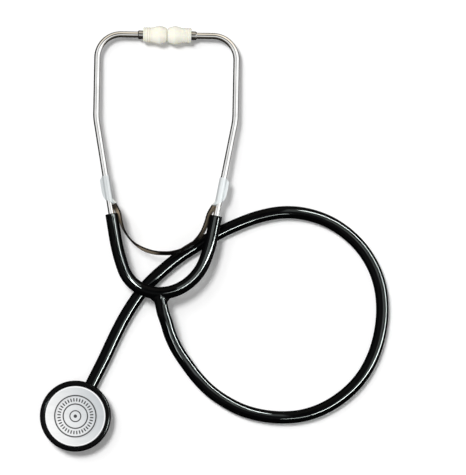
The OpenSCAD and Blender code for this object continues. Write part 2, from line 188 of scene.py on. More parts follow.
class TubingSettings(bpy.types.PropertyGroup):
    radius: FloatProperty(name="Radius", description="Outside radius of the tubing",
                          default=0.0044, unit="LENGTH")
    bore: FloatProperty(name="Bore", description="Radius of the tubing's bore",
                        default=0.0022, unit="LENGTH")
    colour: FloatVectorProperty(name="Colour", description="Colour of the moulded tubing",
                                default=(0.0016, 0.0017, 0.0019), subtype="COLOR", size=3)
    roughness: FloatProperty(name="Roughness", description="Roughness of the tubing's skin",
                             default=0.05, min=0.0, max=1.0, subtype="FACTOR")
    steps: IntProperty(name="Steps", description="Rings for each stretch of the free tube",
                       default=8, min=2, max=16)


class HeadsetSettings(bpy.types.PropertyGroup):
    chrome: FloatVectorProperty(name="Ear tubes", description="Colour of the plated ear tubes",
                                default=(0.86, 0.86, 0.85), subtype="COLOR", size=3)
    sleeve: FloatVectorProperty(name="Sleeves", description="Colour of the pressed sleeves",
                                default=(0.76, 0.80, 0.81), subtype="COLOR", size=3)
    spring: FloatVectorProperty(name="Leaf spring", description="Colour of the leaf spring",
                                default=(0.50, 0.40, 0.29), subtype="COLOR", size=3)
    ivory: FloatVectorProperty(name="Eartips", description="Colour of the ivory eartips",
                               default=(0.85, 0.835, 0.735), subtype="COLOR", size=3)
    strip_width: FloatProperty(name="Spring width", description="Width of the leaf spring's strip",
                               default=0.008, unit="LENGTH")
    strip_thickness: FloatProperty(name="Spring thickness", description="Thickness of the strip",
                                   default=0.0009, unit="LENGTH")
    strip_lean: FloatProperty(name="Spring lean", description="Lean of the strip at its ends",
                              default=math.radians(22), subtype="ANGLE")


class ChestpieceSettings(bpy.types.PropertyGroup):
    face: FloatVectorProperty(name="Diaphragm", description="Colour of the diaphragm",
                              default=(0.88, 0.885, 0.88), subtype="COLOR", size=3)
    alloy: FloatVectorProperty(name="Body", description="Colour of the turned body",
                               default=(0.60, 0.61, 0.62), subtype="COLOR", size=3)
    rim: FloatVectorProperty(name="Ring", description="Colour of the retaining ring",
                             default=(0.003, 0.003, 0.0033), subtype="COLOR", size=3)
    outer_mark: FloatProperty(name="Outer circle", description="Radius of the outer circle",
                              default=0.01445, unit="LENGTH")
    inner_mark: FloatProperty(name="Inner circle", description="Radius of the inner circle",
                              default=0.0085, unit="LENGTH")
    ticks: IntProperty(name="Ticks", description="Tick marks between the circles",
                       default=36, min=4, max=96)


class StageSettings(bpy.types.PropertyGroup):
    distance: FloatProperty(name="Camera height", description="Height of the camera",
                            default=6.0, unit="LENGTH")
    centre: FloatVectorProperty(name="View centre", description="Middle of the photograph's view",
                                default=(0.11025, 0.12495, 0.0066), subtype="TRANSLATION", size=3)
    view_height: FloatProperty(name="View height", description="Height of the view at the table",
                               default=0.3325, unit="LENGTH")
    key: FloatProperty(name="Key light", description="Strength of the steep main light",
                       default=2.15)
    low_key: FloatProperty(name="Low key", description="Strength of the slanted second light",
                           default=0.55)
    ambient: FloatProperty(name="Ambient", description="Strength of the even light", default=0.33)
    fill: FloatProperty(name="Fill", description="Strength of the soft light on single pieces",
                        default=0.9)
    arc: FloatProperty(name="Arc lamps", description="Emission of the lamps black pieces mirror",
                       default=2000.0)


class StethoscopeSettings(bpy.types.PropertyGroup):
    tubing: PointerProperty(type=TubingSettings)
    headset: PointerProperty(type=HeadsetSettings)
    chestpiece: PointerProperty(type=ChestpieceSettings)
    stage: PointerProperty(type=StageSettings)


# Points and paths


def in_headset(x, y, z=0.0):
    """A point of the headset's plane in the part's frame."""
    return HEADSET @ Vector((x, y, z))


def through(a, b, c, d, t):
    """A smooth curve through four points, at share t between the middle two."""
    return 0.5 * (2 * b + (c - a) * t + (2 * a - 5 * b + 4 * c - d) * t * t
                  + (3 * b - a - 3 * c + d) * t ** 3)


def smoothed(points, steps):
    """A smooth line through all the points, with so many steps between each two."""
    line = []
    last = len(points) - 1
    for i in range(last):
        around = [points[max(i - 1, 0)], points[i], points[i + 1], points[min(i + 2, last)]]
        line += [through(*around, k / steps) for k in range(steps)]
    return line + [points[last]]


def directions(line, first=None, last=None):
    """The way a line runs at each of its points, where its first and last may be given."""
    ways = [(line[min(i + 1, len(line) - 1)] - line[max(i - 1, 0)]).normalized()
            for i in range(len(line))]
    ways[0] = first or ways[0]
    ways[-1] = last or ways[-1]
    return ways


def free_tube_line(steps):
    """The free tube's centre line, from the end of the wye's stem to the chestpiece's stem."""
    stem_out = HEADSET.to_3x3() @ STEM_WAY
    start = in_headset(WYE_SHIFT + STEM_ROOT, 0) + WYE_STEM * stem_out
    loop = [Vector(point) * MM for point in LOOP_POINTS]
    tail = [d * CHEST_STEM_WAY + CHEST_STEM_Z * UP for d in TUBE_TAIL]
    return smoothed([start, start + TUBE_LEAD * stem_out] + loop + tail, steps)


def arm_line(side):
    """The line of one tubing arm, from its mouth to the end of the wye's crosspiece.

    The two bends' radii follow from where the line has to end.
    """
    run = Vector((ARM_STRAIGHT * math.sin(SPLAY) + ARM_LINK * math.sin(ARM_TURN),
                  ARM_STRAIGHT * math.cos(SPLAY) + ARM_LINK * math.cos(ARM_TURN)))
    to = Vector((ARM_ACROSS - side * WYE_SHIFT, ARM_LINE)) - run - CROSS_RADIUS * Vector(
        (math.sin(WYE_SPAN), 1 - math.cos(WYE_SPAN)))
    gentle = (math.cos(SPLAY) - math.cos(ARM_TURN), math.sin(ARM_TURN) - math.sin(SPLAY))
    tight = (math.cos(ARM_TURN) - math.sin(WYE_SPAN), math.cos(WYE_SPAN) - math.sin(ARM_TURN))
    det = gentle[0] * tight[1] - tight[0] * gentle[1]
    gentle_radius = (to.x * tight[1] - tight[0] * to.y) / det
    tight_radius = (gentle[0] * to.y - gentle[1] * to.x) / det
    here, heading, line = Vector((ARM_ACROSS, ARM_LINE)), SPLAY, []

    def go(length, steps, radius=None):
        nonlocal here, heading
        for _ in range(steps):
            line.append(here.copy())
            if radius:
                half = length / steps / radius / 2
                here = here - 2 * radius * math.sin(half) * Vector(
                    (math.sin(heading + half), math.cos(heading + half)))
                heading += 2 * half
            else:
                here = here - length / steps * Vector((math.sin(heading), math.cos(heading)))

    go(ARM_STRAIGHT, 10)
    go(gentle_radius * (ARM_TURN - SPLAY), 14, gentle_radius)
    go(ARM_LINK, 1)
    go(tight_radius * (math.pi / 2 - WYE_SPAN - ARM_TURN), 20, tight_radius)
    line.append(here.copy())
    return [in_headset(side * p.x, p.y) for p in line]


# Meshes


def loft(bm, rings):
    """Skins equal rings of points, by extruding the first one's edges, and closes both ends."""
    size = len(rings[0])
    circle = bmesh.ops.create_circle(bm, cap_ends=False, radius=1.0, segments=size)["verts"]
    ring = sorted(circle, key=lambda v: math.atan2(v.co.y, v.co.x) % (2 * math.pi))
    ring_of = dict(enumerate(ring))
    for k, point in enumerate(rings[0]):
        ring_of[k].co = point
    made_rings = [list(ring_of.values())]
    for points in rings[1:]:
        edges = [bm.edges.get((ring_of[k], ring_of[(k + 1) % size])) for k in range(size)]
        made = bmesh.ops.extrude_edge_only(bm, edges=edges)["geom"]
        fresh = {v for v in made if isinstance(v, bmesh.types.BMVert)}
        for k in range(size):
            ring_of[k] = next(e.other_vert(ring_of[k]) for e in ring_of[k].link_edges
                              if e.other_vert(ring_of[k]) in fresh)
        for k, point in enumerate(points):
            ring_of[k].co = point
        made_rings.append(list(ring_of.values()))
    for end in (made_rings[0], made_rings[-1]):
        bmesh.ops.contextual_create(bm, geom=end)
    return made_rings


def round_ring(at, way, radius, sides):
    """Points of a circle round a line that runs level or nearly so."""
    side = way.cross(UP).normalized()
    up = side.cross(way)
    return [at + radius * (math.cos(a) * side + math.sin(a) * up)
            for a in (2 * math.pi * k / sides for k in range(sides))]


def finish_mesh(name, bm, material, smooth_angle):
    """Makes a piece of a bmesh, shaded smooth but at edges sharper than so many degrees."""
    bmesh.ops.recalc_face_normals(bm, faces=bm.faces)
    for face in bm.faces:
        face.smooth = True
    for edge in bm.edges:
        if len(edge.link_faces) == 2 and edge.calc_face_angle(0) > math.radians(smooth_angle):
            edge.smooth = False
    mesh = bpy.data.meshes.new(name)
    bm.to_mesh(mesh)
    bm.free()
    return place(name, mesh, material)


def place(name, data, material):
    """Puts a mesh or a curve in the scene as a piece, with its material."""
    piece = bpy.data.objects.new(name, data)
    bpy.context.scene.collection.objects.link(piece)
    data.materials.append(material)
    return piece


def dress(nodes, material):
    """Gives CAD nodes their material."""
    for name in nodes:
        node = NODES[name]
        node.data.materials.clear()
        node.data.materials.append(material)


# Shader nodes


def feed(tree, entry, value):
    """Links a socket to an input, or gives the input a value of its own."""
    if isinstance(value, bpy.types.NodeSocket):
        tree.links.new(value, entry)
    else:
        entry.default_value = value


def add(tree, kind, inputs=None, **attributes):
    """A new node with its attributes, and a value or a socket for each input."""
    node = tree.nodes.new(kind)
    for key, value in attributes.items():
        setattr(node, key, value)
    for key, value in (inputs or {}).items():
        feed(tree, node.inputs[key], value)
    return node


def compute(tree, operation, *terms):
    """The result of a Math node on numbers and sockets."""
    node = add(tree, "ShaderNodeMath", dict(enumerate(terms)), operation=operation)
    return node.outputs["Value"]


def product(tree, first, *others):
    """Several factors multiplied in turn."""
    for factor in others:
        first = compute(tree, "MULTIPLY", first, factor)
    return first


def ramp(tree, value, low, high, start=0.0, end=1.0, form="SMOOTHSTEP"):
    """Goes from the start to the end while a value goes from low to high."""
    node = add(tree, "ShaderNodeMapRange",
               {"Value": value, "From Min": low, "From Max": high, "To Min": start, "To Max": end},
               interpolation_type=form)
    return node.outputs["Result"]


def coordinates(tree, kind):
    """X, Y and Z of a kind of texture coordinate."""
    coords = add(tree, "ShaderNodeTexCoord")
    split = add(tree, "ShaderNodeSeparateXYZ", {"Vector": coords.outputs[kind]})
    return [split.outputs[axis] for axis in "XYZ"]


def distance_from(tree, x, y, centre):
    """Distance of the point (x, y) from a centre."""
    sides = [compute(tree, "SUBTRACT", a, c) for a, c in zip((x, y), centre)]
    return compute(tree, "SQRT", compute(tree, "ADD", *(product(tree, s, s) for s in sides)))


def mix_colours(tree, share, under, over):
    """A share of one colour over another.

    For colours the Mix node takes its inputs 0, 6 and 7 and its output 2.
    """
    mix = add(tree, "ShaderNodeMix", {0: share, 6: under, 7: over}, data_type="RGBA")
    return mix.outputs[2]


def overlay(material, colour, share):
    """Mixes a colour over a material's own, by a share that varies over the surface."""
    tree = material.node_tree
    base = tree.nodes["Principled BSDF"].inputs["Base Color"]
    feed(tree, base, mix_colours(tree, share, base.links[0].from_socket, (*colour, 1)))


def grain_group():
    """Fine unevenness of a surface: a height and a shade that waver about the middle."""
    tree = bpy.data.node_groups.new("FineGrain", "ShaderNodeTree")
    tree.interface.new_socket("Vector", in_out="INPUT", socket_type="NodeSocketVector")
    for label, default in (("Scale", 400.0), ("Shade Scale", 60.0), ("Low", 0.9), ("High", 1.1)):
        socket = tree.interface.new_socket(label, in_out="INPUT", socket_type="NodeSocketFloat")
        socket.default_value = default
    for label in ("Height", "Shade"):
        tree.interface.new_socket(label, in_out="OUTPUT", socket_type="NodeSocketFloat")
    enter, leave = tree.nodes.new("NodeGroupInput"), tree.nodes.new("NodeGroupOutput")
    way = enter.outputs["Vector"]
    fine = add(tree, "ShaderNodeTexNoise", {"Vector": way, "Scale": enter.outputs["Scale"],
                                            "Detail": 3.0, "Roughness": 0.55})
    broad = add(tree, "ShaderNodeTexNoise", {"Vector": way, "Scale": enter.outputs["Shade Scale"],
                                             "Detail": 4.0, "Roughness": 0.6})
    shade = ramp(tree, broad.outputs["Fac"], 0.3, 0.7, enter.outputs["Low"],
                 enter.outputs["High"], "LINEAR")
    feed(tree, leave.inputs["Height"], fine.outputs["Fac"])
    feed(tree, leave.inputs["Shade"], shade)
    return tree


# Finishes


def finish(name, colour, roughness, metallic=0.0, grain=400.0, blotch=60.0, spread=0.1,
           bump=0.02, stretch=(1, 1, 1), turn=0.0, **sockets):
    """A Principled material whose shade, roughness and height waver with the grain group."""
    known = bpy.data.materials.get(name)
    if known:
        return known
    material = bpy.data.materials.new(name)
    material.use_nodes = True
    tree = material.node_tree
    shader = tree.nodes["Principled BSDF"]
    coords = add(tree, "ShaderNodeTexCoord")
    mapping = add(tree, "ShaderNodeMapping", {"Vector": coords.outputs["Object"],
                                              "Rotation": (0, 0, turn), "Scale": stretch})
    waver = add(tree, "ShaderNodeGroup",
                {"Vector": mapping.outputs["Vector"], "Scale": grain, "Shade Scale": blotch,
                 "Low": 1 - spread, "High": 1 + spread},
                node_tree=bpy.data.node_groups.get("FineGrain") or grain_group())
    shade = waver.outputs["Shade"]
    tint = add(tree, "ShaderNodeVectorMath", {0: colour, "Scale": shade}, operation="SCALE")
    relief = add(tree, "ShaderNodeBump", {"Height": waver.outputs["Height"], "Strength": bump,
                                          "Distance": 0.0003})
    given = {"Base Color": tint.outputs["Vector"], "Roughness": product(tree, shade, roughness),
             "Normal": relief.outputs["Normal"], "Metallic": metallic}
    for key, value in sockets.items():
        given[key.replace("_", " ").title().replace("Ior", "IOR")] = value
    for key, value in given.items():
        feed(tree, shader.inputs[key], value)
    return material


def black_tubing(tubing):
    """Glossy skin of moulded tubing."""
    return finish("BlackTubing", tuple(tubing.colour), tubing.roughness, grain=900.0, blotch=90.0,
                  spread=0.25, bump=0.015, specular_ior_level=0.045)


def plated_tube(headset):
    """Bright plating that wavers a little."""
    return finish("PlatedTube", tuple(headset.chrome), 0.06, metallic=1.0, grain=700.0,
                  blotch=70.0, spread=0.12, bump=0.015)


def nickel_ferrule(headset):
    """Duller and darker plating than the ear tubes have."""
    colour = tuple(0.55 * c for c in headset.chrome)
    return finish("NickelFerrule", colour, 0.18, metallic=1.0, grain=700.0, blotch=90.0,
                  spread=0.2, bump=0.03)


def pressed_steel(headset):
    """Dull steel, streaked along the sleeves."""
    return finish("PressedSteel", tuple(headset.sleeve), 0.38, metallic=0.5, grain=600.0,
                  blotch=80.0, spread=0.08, bump=0.06, stretch=(1.0, 0.15, 1.0))


def turned_alloy(chest):
    """Satin alloy of the turned body."""
    return finish("TurnedAlloy", tuple(chest.alloy), 0.3, metallic=1.0, grain=900.0,
                  blotch=60.0, spread=0.08, bump=0.05)


def black_ring(chest):
    """Black finish, duller than the tubing's."""
    return finish("BlackRing", tuple(chest.rim), 0.14, grain=700.0, blotch=90.0, spread=0.2,
                  bump=0.015, specular_ior_level=0.035)


def spring_steel(headset):
    """Browned steel, with painted shade that makes it near black at its edges and along stretches
    of it.
    """
    material = finish("SpringSteel", tuple(headset.spring), 0.34, grain=500.0,
                      blotch=50.0, spread=0.25, bump=0.04, stretch=(1.0, 1.0, 6.0),
                      specular_ior_level=0.1)
    tree = material.node_tree
    across = add(tree, "ShaderNodeAttribute", attribute_name="across").outputs["Fac"]
    along = add(tree, "ShaderNodeAttribute", attribute_name="along").outputs["Fac"]
    # Painted shade: near black along the strip's edges and, by the ramp, along stretches of its
    # length
    edge = ramp(tree, compute(tree, "ABSOLUTE", across), 0.66, 0.86, form="LINEAR")
    shade_along = add(tree, "ShaderNodeValToRGB", {"Fac": along})
    stops = shade_along.color_ramp.elements
    stops[0].color = (0.9, 0.9, 0.9, 1)
    stops[1].color = (0, 0, 0, 1)
    for share, shade in ((0.03, 0.9), (0.055, 0), (0.10, 0.2), (0.18, 1), (0.29, 1), (0.33, 0),
                         (0.43, 0), (0.48, 1), (0.77, 1), (0.85, 0)):
        stops.new(share).color = (shade, shade, shade, 1)
    overlay(material, (0.008, 0.006, 0.005),
            compute(tree, "MAXIMUM", edge, shade_along.outputs["Color"]))
    return material


def ivory_plastic(headset):
    """Ivory plastic with painted shade of grooves round each collar, the eartips' far end."""
    material = finish("IvoryPlastic", tuple(headset.ivory), 0.22, grain=300.0, blotch=120.0,
                      spread=0.03, bump=0.02, subsurface_weight=0.35, subsurface_scale=0.003,
                      subsurface_radius=(1.0, 0.75, 0.4), coat_weight=0.3, coat_roughness=0.08)
    tree = material.node_tree
    x = coordinates(tree, "Object")[0]
    distance = compute(tree, "ABSOLUTE", compute(tree, "SUBTRACT", x, EARTIP_MIDDLE))
    wave = compute(tree, "SINE", product(tree, distance, 2 * math.pi / GROOVE_PITCH))
    # Painted shade of grooves: dark rings round each collar
    groove_shade = ramp(tree, wave, 0.2, 1.0, form="LINEAR")
    collar = ramp(tree, distance, *COLLAR_START, end=0.4, form="LINEAR")
    overlay(material, (0.50, 0.47, 0.36), product(tree, groove_shade, collar))
    return material


def diaphragm_face(chest):
    """Pale sheet with three circles, tick marks between the outer two and a dot, and painted shade,
    shadow and highlight.
    """
    material = finish("DiaphragmFace", tuple(chest.face), 0.34, grain=260.0, blotch=40.0,
                      spread=0.07, bump=0.03, stretch=(1.0, 7.0, 1.0), turn=math.radians(38),
                      coat_weight=0.25, coat_roughness=0.12)
    tree = material.node_tree
    x, y, _ = coordinates(tree, "Object")
    distance = distance_from(tree, x, y, (0.0, 0.0))

    def circle(distance, radius, half_width, softness=INK_SOFTNESS):
        off = compute(tree, "ABSOLUTE", compute(tree, "SUBTRACT", distance, radius))
        return ramp(tree, off, half_width - softness, half_width + softness, 1.0, 0.0)

    # Painted shade: darker and bluer towards the lower right, where the room that the sheet faces
    # is dark
    slope = compute(tree, "ADD", product(tree, x, 0.85), product(tree, y, 0.30))
    shade_lower_right = ramp(tree, slope, -0.016, 0.020, end=0.8, form="LINEAR")
    overlay(material, (0.40, 0.435, 0.465), shade_lower_right)

    # Painted shadow of the outer circle on what lies under the clear sheet, and a painted highlight
    # at the sheet's edge
    shadow = circle(distance_from(tree, x, y, (0.0009, -0.0007)), chest.outer_mark, 0.0003, 0.0005)
    overlay(material, (0.42, 0.43, 0.45), product(tree, shadow, 0.45))
    overlay(material, (0.93, 0.935, 0.94), circle(distance, EDGE_HIGHLIGHT_RADIUS, 0.0004, 0.0002))

    turns = product(tree, compute(tree, "ARCTAN2", y, x), chest.ticks / (2 * math.pi))
    off_tick = compute(tree, "ABSOLUTE",
                       compute(tree, "SUBTRACT", compute(tree, "FRACT", turns), 0.5))
    arc = product(tree, off_tick, distance, 2 * math.pi / chest.ticks)
    tick = ramp(tree, arc, *TICK_HALF_WIDTH, 1.0, 0.0, form="LINEAR")
    middle = (chest.outer_mark + chest.inner_mark) / 2
    ink = product(tree, tick, circle(distance, middle, TICK_LENGTH / 2))
    for radius, half_width in ((chest.outer_mark, 0.00045), (chest.inner_mark, 0.00043),
                               (SMALL_CIRCLE, 0.00039), (0.0, DOT)):
        ink = compute(tree, "MAXIMUM", ink, circle(distance, radius, half_width))
    overlay(material, (0.03, 0.03, 0.032), ink)
    return material


# Pieces


class STETHOSCOPE_OT_camera(bpy.types.Operator):
    """Sets the camera straight above the table"""

    bl_idname = "stethoscope.camera"
    bl_label = "Camera"

    def execute(self, context):
        stage = context.scene.stethoscope.stage
        data = bpy.data.cameras.new("AboveTable")
        data.sensor_width = 36.0
        data.lens = data.sensor_width * stage.distance / stage.view_height
        data.clip_end = 20.0
        camera = bpy.data.objects.new("AboveTable", data)
        camera.location = Vector(stage.centre) + stage.distance * UP
        context.scene.collection.objects.link(camera)
        context.scene.camera = camera
        return {"FINISHED"}


class STETHOSCOPE_OT_free_tube(bpy.types.Operator):
    """Lays the free tube from the wye round its loop to the chestpiece"""

    bl_idname = "stethoscope.free_tube"
    bl_label = "Free tube"

    def execute(self, context):
        tubing = context.scene.stethoscope.tubing
        line = free_tube_line(tubing.steps)
        data = bpy.data.curves.new("FreeTube", "CURVE")
        data.dimensions = "3D"
        data.bevel_depth = tubing.radius
        data.bevel_resolution = 10
        data.use_fill_caps = True
        data.twist_mode = "MINIMUM"
        spline = data.splines.new("POLY")
        spline.points.add(len(line) - 1)
        for point, at in zip(spline.points, line):
            point.co = (*at, 1.0)
        spline.use_smooth = True
        tube = place("FreeTube", data, black_tubing(tubing))
        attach(tube, "tubing")
        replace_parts(tube, "main_tube")
        return {"FINISHED"}


class STETHOSCOPE_OT_wye(bpy.types.Operator):
    """Moulds the wye, with fillets between its crosspiece and its stem"""

    bl_idname = "stethoscope.wye"
    bl_label = "Wye"

    def execute(self, context):
        tubing = context.scene.stethoscope.tubing
        mesh = self.skinned_tee(context, tubing.radius)
        self.fillet(mesh, tubing.radius)
        bm = bmesh.new()
        bm.from_mesh(mesh)
        self.cut_ends(bm)
        bmesh.ops.transform(bm, matrix=HEADSET @ Matrix.Translation((WYE_SHIFT, 0, 0)),
                            verts=bm.verts)
        wye = finish_mesh("WyeMoulding", bm, black_tubing(tubing), 50)
        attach(wye, "tubing")
        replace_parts(wye, "tubing_wye")
        return {"FINISHED"}

    def skinned_tee(self, context, radius):
        """One fine skin over the crosspiece and the stem, both a little too long."""
        run_on, steps = 0.002, 12
        span = WYE_SPAN + run_on / CROSS_RADIUS
        cross = [Vector((CROSS_RADIUS * math.sin(a), CROSS_RADIUS * (1 - math.cos(a)), 0))
                 for a in (span * (k / steps - 1) for k in range(2 * steps + 1))]
        root = Vector((STEM_ROOT, 0, 0))
        stem = [root + k / steps * (WYE_STEM + run_on) * STEM_WAY for k in range(steps + 1)]
        bm = bmesh.new()
        for line in (cross, stem):
            loft(bm, [round_ring(p, w, radius, TUBE_SIDES) for p, w in zip(line, directions(line))])
        bmesh.ops.recalc_face_normals(bm, faces=bm.faces)
        mesh = bpy.data.meshes.new("WyeBlank")
        bm.to_mesh(mesh)
        bm.free()
        blank = bpy.data.objects.new("WyeBlank", mesh)
        context.scene.collection.objects.link(blank)
        remesh = blank.modifiers.new("Skin", "REMESH")
        remesh.mode = "VOXEL"
        remesh.voxel_size = 0.00042
        skinned = blank.evaluated_get(context.evaluated_depsgraph_get())
        skin = bpy.data.meshes.new_from_object(skinned)
        bpy.data.objects.remove(blank)
        return skin

    def fillet(self, mesh, radius):
        """Draws every point onto a tee of even radius whose inner corners are rounded."""
        co = np.zeros(len(mesh.vertices) * 3)
        mesh.vertices.foreach_get("co", co)
        co = co.reshape(-1, 3)
        start = radius * 0.9
        way = np.array(STEM_WAY[:2])

        def depth(p):
            """Distance outside the tee, from a soft minimum of those from its two lines."""
            arc = np.abs(np.hypot(p[:, 0], p[:, 1] - CROSS_RADIUS) - CROSS_RADIUS)
            from_root = p[:, :2] - np.array([STEM_ROOT, 0.0])
            along = np.clip(from_root @ way, start, 1.0)
            stem = np.linalg.norm(from_root - along[:, None] * way, axis=1)
            near = np.minimum(arc, stem)
            reach = FILLET_REACH * np.clip(near / radius, 0, 1.2) ** 2 + 1e-9
            share = np.clip(1 - np.abs(arc - stem) / reach, 0, 1)
            return np.hypot(near - share ** 2 * reach / 4, p[:, 2]) - radius

        step, rounds, ease = 2e-6, 12, 0.8
        for _ in range(rounds):
            f = depth(co)
            slope = np.stack([(depth(co + step * axis) - depth(co - step * axis)) / (2 * step)
                              for axis in np.eye(3)], axis=1)
            co -= (f / np.maximum((slope ** 2).sum(1), 0.25))[:, None] * slope * ease
        mesh.vertices.foreach_set("co", co.ravel())

    def cut_ends(self, bm):
        """Cuts the three ends square where the arms and the free tube begin, and closes them."""
        ends = [(CROSS_RADIUS * Vector((s * math.sin(WYE_SPAN), 1 - math.cos(WYE_SPAN), 0)),
                 Vector((s * math.cos(WYE_SPAN), math.sin(WYE_SPAN), 0))) for s in (-1, 1)]
        ends.append((Vector((STEM_ROOT, 0, 0)) + WYE_STEM * STEM_WAY, STEM_WAY))
        for at, way in ends:
            geom = bm.verts[:] + bm.edges[:] + bm.faces[:]
            cut = bmesh.ops.bisect_plane(bm, geom=geom, plane_co=at, plane_no=way,
                                         clear_outer=True)
            edges = [e for e in cut["geom_cut"] if isinstance(e, bmesh.types.BMEdge)]
            bmesh.ops.holes_fill(bm, edges=edges, sides=0)


class STETHOSCOPE_OT_arms(bpy.types.Operator):
    """Makes the two tubing arms"""

    bl_idname = "stethoscope.arms"
    bl_label = "Tubing arms"

    def execute(self, context):
        tubing = context.scene.stethoscope.tubing
        lip, lip_steps, bore_depth = 0.0007, 5, 0.012
        for name, side in SIDES.items():
            line = arm_line(side)
            ways = directions(line, last=(HEADSET.to_3x3() @ Vector(
                (-side * math.cos(WYE_SPAN), -math.sin(WYE_SPAN), 0))))
            rings = [(line[0] + d * ways[0], ways[0], r) for d, r in (
                (bore_depth, tubing.bore), (lip / 2, tubing.bore), (0.0, tubing.bore + lip / 3))]
            rings += [(line[0] + lip * (1 - math.sin(a)) * ways[0], ways[0],
                       tubing.radius - lip * (1 - math.cos(a)))
                      for a in (math.pi / 2 * (1 - k / lip_steps) for k in range(lip_steps + 1))]
            rings += [(p, w, tubing.radius) for p, w in zip(line[1:], ways[1:])]
            bm = bmesh.new()
            loft(bm, [round_ring(p, w, r, TUBE_SIDES) for p, w, r in rings])
            arm = finish_mesh(f"{name.title()}Arm", bm, black_tubing(tubing), 50)
            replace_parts(arm, f"{name}_arm")
            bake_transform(arm)
        return {"FINISHED"}


class STETHOSCOPE_OT_leaf_spring(bpy.types.Operator):
    """Bends the leaf spring's strip, in two halves that meet at its middle"""

    bl_idname = "stethoscope.leaf_spring"
    bl_label = "Leaf spring"

    def execute(self, context):
        headset = context.scene.stethoscope.headset
        steel = spring_steel(headset)
        mirrored = (-LEAF_HALF[1][0], LEAF_HALF[1][1])
        steps = 6
        line = smoothed([Vector((x, y, 0)) * MM for x, y in [mirrored] + LEAF_HALF], steps)[steps:]
        ways = directions(line, first=Vector((1, 0, 0)))
        half_wide = headset.strip_width / 2
        section = self.section(headset.strip_thickness / 2, half_wide)
        for name, side in SIDES.items():
            rings = []
            for k, (at, way) in enumerate(zip(line, ways)):
                lean = self.lean(side, k / (len(line) - 1), headset.strip_lean)
                inward = Vector((-way.y, way.x, 0))
                across = math.cos(lean) * UP + math.sin(lean) * inward
                thick = math.cos(lean) * inward - math.sin(lean) * UP
                points = [at + u * thick + v * across for u, v in section]
                rings.append([in_headset(side * p.x, p.y, p.z) for p in points])
            bm = bmesh.new()
            layers = [bm.verts.layers.float.new(label) for label in ("across", "along")]
            for k, ring in enumerate(loft(bm, rings)):
                for vert, (_, v) in zip(ring, section):
                    vert[layers[0]] = v / half_wide
                    vert[layers[1]] = 0.5 + side * k / (len(rings) - 1) / 2
            half = finish_mesh(f"{name.title()}LeafSpring", bm, steel, 35)
            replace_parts(half, "leaf_spring")
            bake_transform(half)
        return {"FINISHED"}

    @staticmethod
    def lean(side, share, end_lean):
        """The strip's lean, a share of the way from its middle to a sleeve.

        The left half is also twisted upright again between the two.
        """
        lean = MIDDLE_LEAN + (end_lean - MIDDLE_LEAN) * share ** 1.5
        if side < 0:
            lean -= LEFT_TWIST * math.sin(math.pi * min(1, max(0, share - 0.2) / 0.7)) ** 2
        return lean

    @staticmethod
    def section(half_thick, half_wide, corner=0.0003, steps=4):
        """The strip's section with rounded corners, as (through, across) pairs."""
        points = []
        for sx, sy, turn in ((1, 1, 0), (-1, 1, 90), (-1, -1, 180), (1, -1, 270)):
            for k in range(steps + 1):
                a = math.radians(turn + 90 * k / steps)
                points.append((sx * (half_thick - corner) + corner * math.cos(a),
                               sy * (half_wide - corner) + corner * math.sin(a)))
        return points


class STETHOSCOPE_OT_headset(bpy.types.Operator):
    """Finishes the ear tubes, their ferrules, the spring's sleeves and the eartips"""

    bl_idname = "stethoscope.headset"
    bl_label = "Ear tubes and eartips"

    def execute(self, context):
        headset = context.scene.stethoscope.headset
        dress(["left_ear_tube", "right_ear_tube"], plated_tube(headset))
        dress(["left_tip_ferrule", "right_tip_ferrule"], nickel_ferrule(headset))
        dress(["left_spring_sleeve", "right_spring_sleeve"], pressed_steel(headset))
        dress(["left_eartip", "right_eartip"], ivory_plastic(headset))
        return {"FINISHED"}


class STETHOSCOPE_OT_chestpiece(bpy.types.Operator):
    """Finishes the chestpiece's body, stem, diaphragm and retaining ring"""

    bl_idname = "stethoscope.chestpiece"
    bl_label = "Chestpiece"

    def execute(self, context):
        settings = context.scene.stethoscope
        chest = settings.chestpiece
        dress(["chestpiece_body"], turned_alloy(chest))
        dress(["chest_stem"], plated_tube(settings.headset))
        dress(["retaining_ring"], black_ring(chest))
        dress(["diaphragm"], diaphragm_face(chest))
        return {"FINISHED"}


